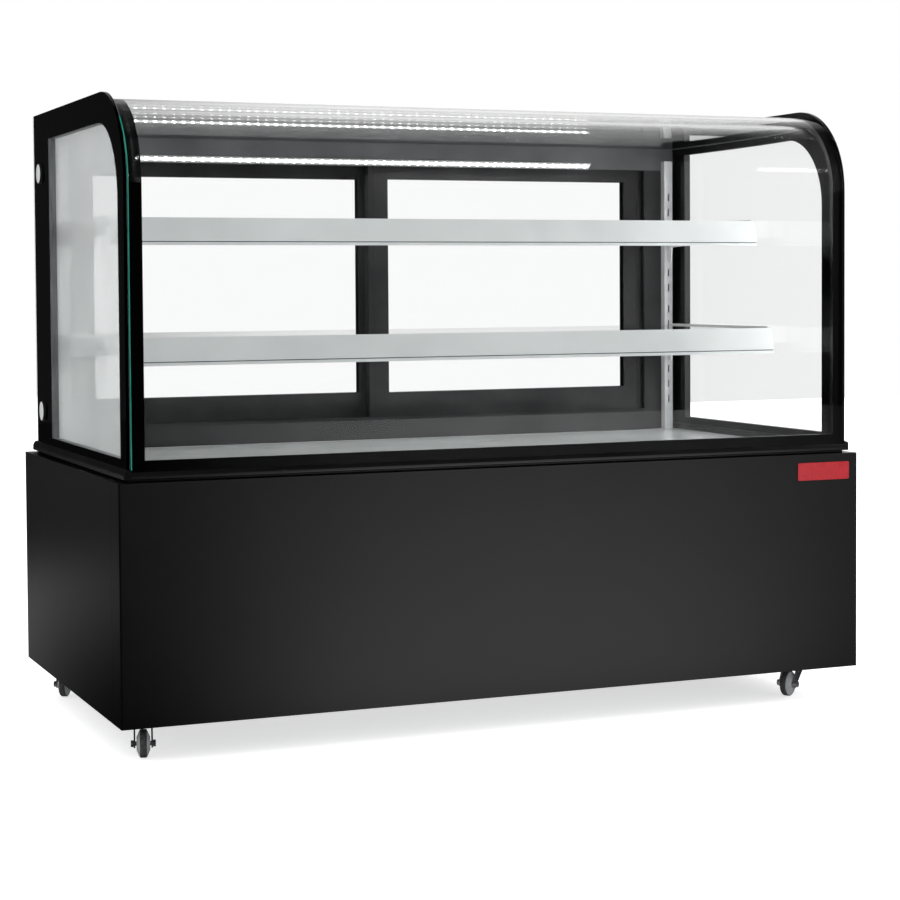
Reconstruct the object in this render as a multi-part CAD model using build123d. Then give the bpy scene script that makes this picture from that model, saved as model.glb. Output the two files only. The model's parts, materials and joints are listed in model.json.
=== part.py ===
from build123d import *
import math
import os

os.makedirs("parts", exist_ok=True)

# The case stands on the floor at z 0. X runs along its length, Y from its front to its
# back, and the origin is the middle of its footprint. All sizes are in millimetres.

# Driving sizes of the whole case
case_length = 1500
case_depth = 800
caster_height = 66          # floor to the underside of the base
base_height = 428           # painted base, underside to top
ledge_height = 23           # base top to the foot of the glass
glass_height = 666          # foot of the end glass to its top
sheet = 1.5                 # painted steel sheet
touch = 0.3                 # gap left between pieces that only rest near each other

# Base panels and chassis
front_return = 60           # how far the front panel wraps round each end
panel_corner_radius = 3
bottom_flange = 20
rear_setback = 4            # rear panel behind the ends of the side panels
seam = 0.8                  # shadow line between two panels
angle_leg = 25
angle_thickness = 3
bearer_height = 229         # base underside to the underside of the plate that carries the tub
tub_bearing = 20            # how far that plate reaches under the tub

# Glass outline
end_glass_front = 17        # inset of the end glass from the front of the base
end_glass_back = 29         # inset of the end glass from the back of the base
end_glass_side = 19         # inset of the outer glass face from the end of the base
end_corner_radius = 165
pane = 6
end_cavity = 14             # air space of the double end glass
front_cavity = 10           # air space of the double front glass
front_glass_inset = 6       # inset of the bent glass from the front of the base
front_glass_drop = 14       # top of the bent glass below the top of the end glass
front_glass_radius = 155
glass_gap = 1               # sealant gap between two panes
glass_bite = 5              # how deep the bent glass stands in the front lip
foot_bevel = 6              # cut corner at the front foot of the end glass
glass_print = 0.5           # black print on the inner face of the outer end pane
border_front = 51           # black border widths of the end glass
border_top = 54
border_bottom = 15
border_back = 140
border_radius = 140
band_side = 24              # black border widths of the bent glass
band_bottom = 15
band_back = 60

# Ledge profiles under the glass
ledge_outset = 6            # side ledge beyond the outer glass face
ledge_back_inset = 15       # back end of the side ledges from the back of the base
ledge_foot = 7              # straight lower part of the side of a ledge
lip_outset = 3              # front lip beyond the bent glass
neck_height = 5             # shadow gap under the ledges
lip_neck_depth = 17
ledge_neck_depth = 9
lip_radius = 12
lip_foot_radius = 3
lip_corner_radius = 12      # corners of the lip, seen from above
lip_screw_radius = 4
lip_screw_head = 0.8
lip_screw_insets = (287, 24)  # screws from the left and the right end of the lip

# Well and deck
deck_rise = 10              # deck above the base top
deck_sheet = 1.5
rib_width = 12
deck_edge = 12              # folded edge of the deck
deck_front_gap = 15         # air gap between the deck and the bent glass
air_slot = 25               # air slot at the back of the deck
air_slot_margin = 76        # deck left standing at each end of the slot
tub_wall = 40
tub_clearance = 1
drain_bore = 6
drain_wall = 3
drain_spigot = 25

# Rear frame and sliding doors
frame_back_inset = 22       # back of the rear frame from the back of the base
frame_depth = 98            # front face of the rear frame to its back
sill_rise = 57              # base top to the top of the sill lip
header_drop = 55            # roof glass down to the header lip
jamb_lip = 73               # end glass inner face to the jamb lip
jamb_pocket = 28            # how deep a closed door stands in a jamb
frame_wall = 3
frame_groove = 2            # shadow line along the header and the sill
frame_groove_depth = 1
groove_from_lip = 14
track_wall = 4              # rib between the two tracks
track_setback = 9           # front of the rear frame to the first track
door_thickness = 24
door_clearance = 2
door_lift = 8               # room above a door in the header
door_bite = 15              # how far a door runs up behind the header lip
door_foot = 12              # how far a door runs down behind the sill lip
door_play = 4               # closed door short of the foot of its pocket
door_overlap = 4            # closed door beyond the middle of the case
door_ajar = 25.6            # how far the right door stands open
door_edge_radius = 1
stile = 45
top_rail = 45
bottom_rail = 63
stile_groove = 1            # shadow line along each stile
stile_groove_place = 12
door_glass_thickness = 16
glass_seat = 6              # glass held inside the door frame
grip_length = 180
grip_width = 22
grip_depth = 8
glide_length = 40
glide_height = 4
glide_inset = 60
glide_side = 3              # sides of a glide inside the faces of the door
guide_width = 3             # rib that steers the glides
guide_height = 7
guide_clearance = 0.5

# Shelves
upright_inset = 20.4        # end glass inner face to the middle of an upright
upright_width = 20
upright_depth = 17
upright_wall = 2
slot_width = 3.5
slot_length = 16
slot_pitch = 34
slot_rows = 7
slot_first = 64             # header lip down to the middle of the first slot
slot_group_gap = 48         # last slot of the upper group to the first of the lower one
upright_screw_radius = 4
upright_screw_head = 1.2
upright_screw_gap = 25
upright_rise = 22           # upright above the header lip
lower_tier = 236            # deck to lower shelf
upper_tier = 223            # lower shelf to upper shelf
lower_shelf_front = 218     # front of the base to the top edge of the shelf rail
upper_shelf_front = 285
shelf_glass = 8
shelf_back_gap = 5
rail_height = 52
rail_lean = 11              # foot of the rail ahead of its top
rail_wall = 2
rail_grip = 14              # seat of the shelf glass on the rail
rail_bead = 6
rail_groove = 1
bracket_thickness = 2.5
bracket_flange = 20
bracket_tab = 84            # height of the bracket at the upright
bracket_tab_reach = 17      # front of that tab at its top
bracket_tab_foot = 13       # front of that tab at its foot
bracket_depth = 52
bracket_tip = 34
bracket_rise = 3            # web above the top of the rail
bracket_tip_gap = 2
bracket_bolt_radius = 4
bracket_bolt_head = 3
bracket_bolt_places = (16, 64)
hook_drop = 4               # hook behind the wall of the upright
hook_rise = 10
hook_reach = 5

# Lamp
lamp_length = 1040
lamp_shift = -28            # middle of the lamp from the middle of the case
lamp_size = 14
lamp_wall = 1.5
led_pitch = 20
led_size = 5
led_height = 2
strip_thickness = 1.2
strip_width = 10

# Glass fixings
cap_radius = 20
cap_height = 5
cap_edge_radius = 1
cap_below_top = 120
cap_above_foot = 66

# Casters
wheel_radius = 25
wheel_width = 24
tread_width = 12
tread_rise = 2              # tread beyond the rim of the hub
tread_shoulder = 1          # slope at each side of the tread
tread_crown = 1.5
fork_gap = 28
fork_wall = 3
fork_width = 34             # along the direction of travel, at the top
fork_eye_radius = 8         # round foot of each leg about the axle
fork_lift = 3               # wheel to the crown of the fork
fork_crown = 7              # underside of the crown to the top of its race
trail = 24
axle_radius = 4
axle_length = 44
axle_head_radius = 6
kingpin_radius = 5
kingpin_head = 3
kingpin_head_rim = 2.5
running_clearance = 0.05
swivel_radius = 21
plate_size = 58
plate_thickness = 2.5
plate_bolt_inset = 7
plate_bolt_radius = 5
plate_bolt_head = 4
left_caster_inset = 62
right_caster_inset = 90
front_caster_inset = 94
rear_caster_inset = 94
caster_places = {
    "front_left": (-1, -1, -104),
    "front_right": (1, -1, -147.6),
    "rear_left": (-1, 1, -118),
    "rear_right": (1, 1, -146),
}

# Cooling machine
compressor_from_side = 310
compressor_from_back = 226
compressor_radius = 72
compressor_height = 165
compressor_round = 24       # radius of the ends of its shell
compressor_foot = 190       # foot along the case
compressor_foot_width = 133
compressor_stand_height = 36
compressor_stand_radius = 43
cover_reach = 18            # electrical cover beyond the shell
cover_width = 48
cover_foot = 55             # foot plate to the cover
cover_height = 55
foot_plate = 3
grommet_radius = 12
grommet_height = 12
condenser_length = 320
condenser_height = 200
condenser_depth = 50
condenser_from_back = 30
condenser_x = 60
fin_pitch = 12
fin_thickness = 1
tube_radius = 4
tube_pitch = 40
tube_overhang = 6
condenser_fan_radius = 92
condenser_fan_gap = 14
evaporator_end_room = 286   # well beyond each end of the evaporator
evaporator_height = 112
evaporator_depth = 90
evaporator_from_back = 30
evaporator_lift = 10
evaporator_leg = 2
evaporator_fan_radius = 52
evaporator_fan_gap = 14
fan_hub_radius = 22
fan_hub_length = 20
fan_blades = 5
fan_blade_thickness = 2
fan_pitch = 28
fan_shaft_cover = 4
fan_motor_gap = 3
fan_shaft_radius = 4
motor_radius = 30
motor_edge_radius = 4
motor_length = 44
motor_bracket = 3
fan_foot = 45
pipe_radius = 4
pipe_hole = 7
riser_gap = 12              # pipes ahead of the evaporator
liquid_pipe_gap = 10        # risers beyond the end of the evaporator
suction_pipe_gap = 34
drier_radius = 10
drier_length = 70
drier_gap = 37
stub_spread = 20            # pipe stubs from the middle of the compressor
pipe_rise = 22
coil_port = 60              # pipe ports above and below the middle of the condenser
discharge_gap = 36          # discharge line beyond the end of the condenser
drain_pan_length = 360
drain_pan_width = 220
drain_pan_height = 40
drain_pan_wall = 1.5
drain_from_side = 450
drain_y = 40

# Controls at the back
louvre_rows = 12
louvre_pitch = 20
louvre_height = 8
louvre_length = 120
louvre_columns = 3
louvre_gap = 20
louvre_proud = 3
louvre_foot = 40            # base underside to the lowest louvre
control_from_side = 230
control_length = 260
control_height = 90
control_margin = 8
control_below_top = 30
thermostat_length = 76
thermostat_height = 34
thermostat_depth = 50
thermostat_x = -70          # from the middle of the control plate
bezel = 3
bezel_height = 2
display_inset = 4
display_height = 24
display_length = 50
button_radius = 4
button_edge_radius = 0.5
button_travel = 1
button_length = 5
button_proud = 1.5
button_pitch = 14
button_inset = 10
rocker_length = 26
rocker_height = 12
rocker_depth = 14
rocker_proud = 2
rocker_dish = 1.6
rocker_foot = 2
rocker_axis_depth = 3
rocker_pivot_radius = 1.5
rocker_clearance = 0.6
rocker_wall = 1.5
power_rocker_x = 30
light_rocker_x = 80
rocker_angle = 8
gland_from_side = 150
gland_height = 60
gland_radius = 12
gland_bore = 4
gland_nut = 6
gland_flange = 3
gland_proud = 3.5

# Heights and faces that follow from the sizes above
half_length = case_length / 2
front = -case_depth / 2
back = case_depth / 2
base_bottom = caster_height
base_top = base_bottom + base_height
glass_foot = base_top + ledge_height
glass_top = glass_foot + glass_height
deck_top = base_top + deck_rise
lower_shelf_top = deck_top + lower_tier
upper_shelf_top = lower_shelf_top + upper_tier
end_outer = half_length - end_glass_side
end_inner = end_outer - 2 * pane - end_cavity
end_front = front + end_glass_front
end_back = back - end_glass_back
bent_front = front + front_glass_inset
bent_top = glass_top - front_glass_drop
bent_thickness = 2 * pane + front_cavity
bent_inner_front = bent_front + bent_thickness
roof_inner = bent_top - bent_thickness
bent_half = end_outer - pane - glass_gap
frame_back = back - frame_back_inset
frame_front = frame_back - frame_depth
sill_top = base_top + sill_rise
header_bottom = roof_inner - header_drop
jamb_inner = end_inner - jamb_lip
door_top = header_bottom + door_bite
door_bottom = sill_top - door_foot
track_width = door_thickness + 2 * door_clearance
right_door_y = frame_front + track_setback + track_width / 2
left_door_y = right_door_y + track_width + track_wall
door_reach = jamb_inner + jamb_pocket - door_play
door_width = door_reach + door_overlap
left_door_left_edge = -door_reach
right_door_left_edge = door_reach - door_ajar - door_width
frame_chamber = left_door_y + track_width / 2 + frame_wall
upright_x = end_inner - upright_inset
upright_front = frame_front - upright_depth
ledge_outer = end_outer + ledge_outset
ledge_neck = ledge_outer - ledge_neck_depth
ledge_underside = base_top + neck_height
ledge_back = back - ledge_back_inset
lip_front = bent_front - lip_outset
tub_half = end_inner - tub_clearance
tub_front = bent_inner_front + tub_clearance
tub_back = frame_front - tub_clearance
tub_top = deck_top - deck_sheet
tub_bottom = base_bottom + bearer_height + angle_thickness
well_floor = tub_bottom + tub_wall
machine_floor = base_bottom + 2 * sheet
rear_face = back - rear_setback
control_z = base_top - control_below_top - control_height / 2
control_x = half_length - control_from_side
gland_x = -half_length + gland_from_side
drain_x = -half_length + drain_from_side
compressor_x = half_length - compressor_from_side
compressor_y = rear_face - compressor_from_back
control_plate_y = rear_face - sheet
rocker_axis_y = control_plate_y - sheet - rocker_axis_depth
evaporator_back = tub_back - tub_wall - evaporator_from_back
evaporator_front = evaporator_back - evaporator_depth
evaporator_bottom = well_floor + evaporator_lift
evaporator_length = 2 * (tub_half - tub_wall - evaporator_end_room)
liquid_pipe_x = evaporator_length / 2 + tube_overhang + liquid_pipe_gap
suction_pipe_x = evaporator_length / 2 + tube_overhang + suction_pipe_gap
condenser_back = rear_face - condenser_from_back
condenser_front = condenser_back - condenser_depth
condenser_fan_y = condenser_front - condenser_fan_gap - fan_hub_length / 2
condenser_fan_z = machine_floor + condenser_height / 2
evaporator_fan_y = evaporator_front - evaporator_fan_gap - fan_hub_length / 2
evaporator_fan_z = evaporator_bottom + evaporator_height / 2
plate_top = base_bottom + sheet
plate_bottom = plate_top - plate_thickness
yoke_bottom = 2 * wheel_radius + fork_lift
yoke_top = yoke_bottom + fork_crown


def block(x0, x1, y0, y1, z0, z1):
    """Box between two corners."""
    centre = ((x0 + x1) / 2, (y0 + y1) / 2, (z0 + z1) / 2)
    return Pos(*centre) * Box(abs(x1 - x0), abs(y1 - y0), abs(z1 - z0))


def rod_x(x0, x1, y, z, radius):
    """Cylinder along X."""
    return Pos((x0 + x1) / 2, y, z) * Rot(0, 90, 0) * Cylinder(radius, abs(x1 - x0))


def rod_y(x, y0, y1, z, radius):
    """Cylinder along Y."""
    return Pos(x, (y0 + y1) / 2, z) * Rot(90, 0, 0) * Cylinder(radius, abs(y1 - y0))


def rod_z(x, y, z0, z1, radius):
    """Cylinder along Z."""
    return Pos(x, y, (z0 + z1) / 2) * Cylinder(radius, abs(z1 - z0))


def polygon(points):
    """Closed flat face through the points."""
    return make_face(Polyline(*points, close=True))


def along_x(face, x0, x1):
    """Solid from a face whose own axes are the case's Y and Z."""
    return extrude(Plane.YZ.offset(x0) * face, x1 - x0)


def along_y(face, y0, y1):
    """Solid from a face whose own axes are the case's X and Z."""
    return extrude(Plane.XZ.offset(-y0) * face, -(y1 - y0))


def along_z(face, z0, z1):
    """Solid from a face whose own axes are the case's X and Y."""
    return extrude(Plane.XY.offset(z0) * face, z1 - z0)


def mirrored(shape):
    """The same piece at the other end of the case."""
    return mirror(shape, about=Plane.YZ)


def arched(y0, y1, z0, z1, radius):
    """Side outline with a round corner at its front top."""
    turn = radius * (1 - math.sqrt(0.5))
    sides = Polyline((y0 + radius, z1), (y1, z1), (y1, z0), (y0, z0), (y0, z1 - radius))
    corner = ThreePointArc((y0, z1 - radius), (y0 + turn, z1 - turn), (y0 + radius, z1))
    return make_face(sides + corner)


def bent_outline(depth, spare=0):
    """Side outline of the bent glass, a given depth inside its outer face."""
    return arched(
        bent_front + depth,
        end_back + spare,
        glass_foot - glass_bite - spare,
        bent_top - depth,
        front_glass_radius - depth,
    )


def bent_sheet(outer, inner, x0, x1):
    """Bent sheet between two depths of the glass."""
    shell = bent_outline(outer) - bent_outline(inner, spare=1)
    return along_x(shell, x0, x1)


def ring_plate(x, y0, y1, width, z0, z1):
    """Flat rectangular ring, measured to its outside."""
    outside = block(-x, x, y0, y1, z0, z1)
    inside = block(-x + width, x - width, y0 + width, y1 - width, z0 - 1, z1 + 1)
    return outside - inside


def save(name, shape):
    """Write one piece, or one group of like pieces, under its own name."""
    shape = shape if isinstance(shape, list) else [shape]
    solids = [solid for piece in shape for solid in piece.solids()]
    export_step(solids[0] if len(solids) == 1 else Compound(children=solids), f"parts/{name}.step")


# Base


def base_chassis():
    """Welded angle frame with the machine floor and the plate that carries the tub."""
    x = half_length - sheet
    y0 = front + sheet
    y1 = rear_face - sheet
    z0 = base_bottom + sheet
    z1 = base_top - sheet
    floor = block(-x, x, y0, y1, z0, z0 + sheet)
    kerb = ring_plate(x, y0, y1, angle_thickness, z0 + sheet, z0 + angle_leg)
    bearer_z = base_bottom + bearer_height
    bearer = block(-x, x, y0, y1, bearer_z, bearer_z + angle_thickness)
    bearer -= block(
        -tub_half + tub_bearing,
        tub_half - tub_bearing,
        tub_front + tub_bearing,
        tub_back - tub_bearing,
        bearer_z - 1,
        tub_bottom + 1,
    )
    rim = ring_plate(x, y0, y1, angle_leg, z1 - angle_thickness, z1)
    frame = floor + kerb + bearer + rim
    for side in (-1, 1):
        corner = side * x
        for end_y, inward in ((y0, 1), (y1, -1)):
            thick_y = end_y + inward * angle_thickness
            far_y = end_y + inward * angle_leg
            frame += block(corner, corner - side * angle_leg, end_y, thick_y, z0, z1)
            frame += block(corner, corner - side * angle_thickness, end_y, far_y, z0, z1)
    return frame


def panel_shell(y1):
    """Folded skin round the front and the ends, with flanges above and below."""
    x = half_length
    outside = block(-x, x, front, y1, base_bottom, base_top)
    outside = fillet(outside.edges().filter_by(Axis.Z), panel_corner_radius)
    inside = block(-x + sheet, x - sheet, front + sheet, y1, base_bottom + sheet, base_top - sheet)
    mouth = block(-end_inner, end_inner, bent_inner_front, y1, base_top - 2 * sheet, base_top + 1)
    foot_x = x - bottom_flange
    foot = block(-foot_x, foot_x, front + bottom_flange, y1, base_bottom - 1, base_bottom + 2 * sheet)
    return outside - inside - mouth - foot


def front_panel():
    """Painted front with a short return round each end."""
    keep = block(-case_length, case_length, front - 1, front + front_return, 0, glass_top)
    return panel_shell(back) & keep


def side_panel():
    """Painted right end, from the return of the front panel to the back."""
    keep = block(0, case_length, front + front_return + seam, back, 0, glass_top)
    return panel_shell(back + case_depth) & keep


def louvre_slots():
    """Air slots behind the condenser."""
    slots = []
    span = louvre_columns * louvre_length + (louvre_columns - 1) * louvre_gap
    for column in range(louvre_columns):
        x = condenser_x - span / 2 + louvre_length / 2 + column * (louvre_length + louvre_gap)
        for row in range(louvre_rows):
            z = base_bottom + louvre_foot + row * louvre_pitch
            face = Pos(x, z) * SlotOverall(louvre_length, louvre_height)
            slots.append(along_y(face, rear_face - 2 * sheet, rear_face + 1))
    return slots


def louvre_hoods():
    """Pressed hood over each air slot, open at its lower side."""
    hoods = []
    for slot in louvre_slots():
        box = slot.bounding_box()
        x0, x1 = box.min.X, box.max.X
        z0, z1 = box.min.Z, box.max.Z
        mouth = rear_face + louvre_proud
        outline = polygon([(rear_face, z1 + sheet), (rear_face, z1), (mouth - 1, z0), (mouth, z0)])
        hoods.append(along_x(outline, x0, x1))
    return hoods


def rear_panel():
    """Louvred back of the machine space with a top plate under the sill."""
    x = half_length - sheet
    plate = block(-x, x, rear_face - sheet, rear_face, base_bottom + sheet, base_top - sheet)
    shelf_x = end_inner - touch
    top_plate = block(-shelf_x, shelf_x, frame_front, rear_face, base_top - sheet, base_top)
    panel = plate + top_plate - louvre_slots() + louvre_hoods()
    half = control_length / 2 - control_margin
    tall = control_height / 2 - control_margin
    window = block(
        control_x - half,
        control_x + half,
        rear_face - 2 * sheet,
        rear_face + 1,
        control_z - tall,
        control_z + tall,
    )
    gland_z = base_bottom + gland_height
    gland_hole = rod_y(gland_x, rear_face - 2 * sheet, rear_face + 1, gland_z, gland_radius)
    return panel - window - gland_hole


# Casters placed under the base


def caster_frame(shape, name):
    """Put a piece drawn about its swivel axis in its place under the base."""
    side_x, side_y, angle = caster_places[name]
    inset_x = left_caster_inset if side_x < 0 else right_caster_inset
    inset_y = front_caster_inset if side_y < 0 else rear_caster_inset
    x = side_x * (half_length - inset_x)
    y = side_y * (case_depth / 2 - inset_y)
    return Pos(x, y, 0) * Rot(0, 0, angle) * shape


def caster_plate(name):
    """Top plate with its race, kingpin and bolts, square to the base."""
    angle = caster_places[name][2]
    plate = block(-plate_size / 2, plate_size / 2, -plate_size / 2, plate_size / 2, plate_bottom, plate_top)
    corner = plate_size / 2 - plate_bolt_inset
    for x in (-corner, corner):
        for y in (-corner, corner):
            plate += rod_z(x, y, plate_bottom - plate_bolt_head, plate_bottom, plate_bolt_radius)
    plate = Rot(0, 0, -angle) * plate
    race = rod_z(0, 0, yoke_top + touch, plate_bottom, swivel_radius)
    pin = rod_z(0, 0, yoke_bottom - touch, plate_bottom, kingpin_radius)
    head_radius = kingpin_radius + kingpin_head_rim
    pin_head = rod_z(0, 0, yoke_bottom - kingpin_head, yoke_bottom - touch, head_radius)
    return caster_frame(plate + race + pin + pin_head, name)


def caster_fork(name):
    """Swivel yoke with two legs and the riveted axle."""
    gap = fork_gap / 2
    outer = gap + fork_wall
    leg_face = polygon(
        [
            (-fork_width / 2, yoke_bottom + fork_wall),
            (fork_width / 2, yoke_bottom + fork_wall),
            (trail + fork_eye_radius, wheel_radius),
            (trail - fork_eye_radius, wheel_radius),
        ]
    )
    leg_face += Pos(trail, wheel_radius) * Circle(fork_eye_radius)
    fork = along_y(leg_face, gap, outer) + along_y(leg_face, -outer, -gap)
    fork += block(-fork_width / 2, fork_width / 2, -outer, outer, yoke_bottom, yoke_bottom + fork_wall)
    fork += rod_z(0, 0, yoke_bottom, yoke_top, swivel_radius)
    fork -= rod_z(0, 0, yoke_bottom - 1, yoke_top + 1, kingpin_radius + running_clearance)
    half = axle_length / 2
    fork += rod_y(trail, -half, half, wheel_radius, axle_radius)
    fork += rod_y(trail, outer, half, wheel_radius, axle_head_radius)
    fork += rod_y(trail, -half, -outer, wheel_radius, axle_head_radius)
    return caster_frame(fork, name)


def caster_wheel(name):
    """Domed hub with a narrow tread on its rim."""
    half = wheel_width / 2
    tread = tread_width / 2
    rim = wheel_radius - tread_rise
    shoulder = wheel_radius - tread_shoulder
    profile = Polyline(
        (axle_radius + running_clearance, -half),
        (rim / 2, -half),
        (rim, -tread - tread_shoulder),
        (shoulder, -tread),
        (wheel_radius, -tread + tread_crown),
        (wheel_radius, tread - tread_crown),
        (shoulder, tread),
        (rim, tread + tread_shoulder),
        (rim / 2, half),
        (axle_radius + running_clearance, half),
        close=True,
    )
    wheel = revolve(make_face(Plane.XY * profile), Axis.Y)
    return caster_frame(Pos(trail, 0, wheel_radius) * wheel, name)


# Ledges under the glass


def round_corner(start, end, centre):
    """Quarter turn between two points about a centre."""
    middle = (Vector(*start) + Vector(*end)) * 0.5 - Vector(*centre)
    radius = (Vector(*start) - Vector(*centre)).length
    return ThreePointArc(start, Vector(*centre) + middle.normalized() * radius, end)


def ledge_face(inner):
    """Section of a ledge, from a distance off the middle out to its rounded side."""
    foot_top = ledge_underside + ledge_foot
    side = Line((ledge_outer, ledge_underside), (ledge_outer, foot_top))
    nose = TangentArc((ledge_outer, foot_top), (end_outer, glass_foot), tangent=(0, 1))
    rest = Polyline(
        (end_outer, glass_foot),
        (inner, glass_foot),
        (inner, base_top),
        (ledge_neck, base_top),
        (ledge_neck, ledge_underside),
        (ledge_outer, ledge_underside),
    )
    return make_face(side + nose + rest)


def lip_outline():
    """Solid that rounds the ends of the lip like the side ledges, and its corners in plan."""
    half = along_y(ledge_face(0), lip_front - 1, bent_inner_front)
    plan = block(-ledge_outer, ledge_outer, lip_front, bent_inner_front, base_top, glass_foot)
    corners = plan.edges().filter_by(Axis.Z).group_by(Axis.Y)[0]
    return (half + mirrored(half)) & fillet(corners, lip_corner_radius)


def front_lip():
    """Rounded profile with the rebate that the bent glass stands in."""
    neck = lip_front + lip_neck_depth
    foot_y = lip_front + lip_foot_radius
    foot_z = ledge_underside + lip_foot_radius
    nose_y = lip_front + lip_radius
    nose_z = glass_foot - lip_radius
    back_edge = Polyline(
        (nose_y, glass_foot),
        (bent_inner_front, glass_foot),
        (bent_inner_front, base_top),
        (neck, base_top),
        (neck, ledge_underside),
        (foot_y, ledge_underside),
    )
    foot = round_corner((foot_y, ledge_underside), (lip_front, foot_z), (foot_y, foot_z))
    rise = Line((lip_front, foot_z), (lip_front, nose_z))
    nose = round_corner((lip_front, nose_z), (nose_y, glass_foot), (nose_y, nose_z))
    section = make_face(back_edge + foot + rise + nose)
    lip = along_x(section, -ledge_outer, ledge_outer) & lip_outline()
    rebate_front = bent_front - touch
    rebate_half = bent_half + touch
    lip -= block(-rebate_half, rebate_half, rebate_front, 0, glass_foot - glass_bite, glass_foot + 1)
    screw_z = (foot_z + nose_z) / 2
    left_inset, right_inset = lip_screw_insets
    for x in (-ledge_outer + left_inset, ledge_outer - right_inset):
        lip += rod_y(x, lip_front - lip_screw_head, foot_y, screw_z, lip_screw_radius)
    return lip


def side_ledge():
    """Profile that carries the right end glass."""
    return along_y(ledge_face(end_inner), bent_inner_front, ledge_back)


# Glass panes and their borders


def end_outer_outline():
    """Outline of the outer end pane, with its cut corner at the front foot."""
    face = arched(end_front, end_back, glass_foot, glass_top, end_corner_radius)
    cut = polygon(
        [
            (end_front - 1, glass_foot - 1),
            (end_front + foot_bevel, glass_foot - 1),
            (end_front + foot_bevel, glass_foot),
            (end_front, glass_foot + 2 * foot_bevel),
            (end_front - 1, glass_foot + 2 * foot_bevel),
        ]
    )
    return face - cut


def end_outer_pane():
    """Outer pane of the right end glass."""
    return along_x(end_outer_outline(), end_outer - pane, end_outer)


def end_inner_outline():
    """Outline of the pieces of the end glass that stop behind the bent glass."""
    return arched(
        bent_inner_front + glass_gap,
        end_back,
        glass_foot,
        roof_inner - glass_gap,
        front_glass_radius - bent_thickness - glass_gap,
    )


def end_border():
    """Black print on the outer pane of the right end glass, with the spacer behind it."""
    window = arched(
        end_front + border_front,
        end_back - border_back,
        glass_foot + border_bottom,
        glass_top - border_top,
        border_radius,
    )
    print_face = end_outer - pane
    printed = along_x(end_outer_outline() - window, print_face - glass_print, print_face)
    return along_x(end_inner_outline() - window, end_inner + pane, print_face) + printed


def end_inner_pane():
    """Inner pane of the right end glass."""
    return along_x(end_inner_outline(), end_inner, end_inner + pane)


def bent_outer_pane():
    return bent_sheet(0, pane, -bent_half, bent_half)


def bent_inner_pane():
    return bent_sheet(pane + front_cavity, bent_thickness, -bent_half, bent_half)


def bent_border():
    """Black spacer frame between the two bent panes."""
    band = bent_sheet(pane, pane + front_cavity, -bent_half, bent_half)
    clear_half = bent_half - band_side
    window = block(
        -clear_half, clear_half, front, end_back - band_back, glass_foot + band_bottom, glass_top + 1
    )
    return band - window


def end_glass_caps():
    """Round fixing buttons in the middle of the rear border of each end glass."""
    caps = []
    y = end_back - border_back / 2
    for z in (glass_foot + cap_above_foot, glass_top - cap_below_top):
        cap = rod_x(end_outer, end_outer + cap_height, y, z, cap_radius)
        rim = cap.edges().filter_by(GeomType.CIRCLE).sort_by(Axis.X)[-1]
        cap = fillet(rim, cap_edge_radius)
        caps += [cap, mirrored(cap)]
    return caps


# Rear frame


def track_channels(x0, x1, z0, z1):
    """Room for the two doors, one behind the other."""
    half = track_width / 2
    return [block(x0, x1, y - half, y + half, z0, z1) for y in (right_door_y, left_door_y)]


def chamber(z0, z1):
    """Hollow along the back of a frame profile."""
    return block(-case_length, case_length, frame_chamber, frame_back - frame_wall, z0, z1)


def front_groove(z):
    """Shadow line along the front face of a frame profile."""
    y1 = frame_front + frame_groove_depth
    return block(-case_length, case_length, frame_front - 1, y1, z - frame_groove, z)


def door_header():
    """Top profile with two downward tracks."""
    body = block(-end_inner, end_inner, frame_front, frame_back, header_bottom, roof_inner)
    tracks = track_channels(-end_inner, end_inner, header_bottom - 1, door_top + door_lift)
    hollow = chamber(header_bottom + frame_wall, roof_inner - frame_wall)
    return body - tracks - hollow - front_groove(header_bottom + groove_from_lip + frame_wall)


def door_sill():
    """Bottom profile with two upward tracks and a guide rib under each door."""
    body = block(-end_inner, end_inner, frame_front, frame_back, base_top, sill_top)
    guide_top = door_bottom - glide_height / 2 - touch
    floor = guide_top - guide_height
    tracks = track_channels(-end_inner, end_inner, floor, sill_top + 1)
    hollow = chamber(base_top + frame_wall, sill_top - frame_wall)
    body = body - tracks - hollow - front_groove(sill_top - groove_from_lip)
    for y in (right_door_y, left_door_y):
        body += block(-end_inner, end_inner, y - guide_width / 2, y + guide_width / 2, floor, guide_top)
    return body


def door_jamb():
    """Right upright of the rear frame, with a pocket for each closed door."""
    body = block(jamb_inner, end_inner, frame_front, frame_back, sill_top, header_bottom)
    pockets = track_channels(jamb_inner - 1, jamb_inner + jamb_pocket, sill_top - 1, header_bottom + 1)
    return body - pockets


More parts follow.
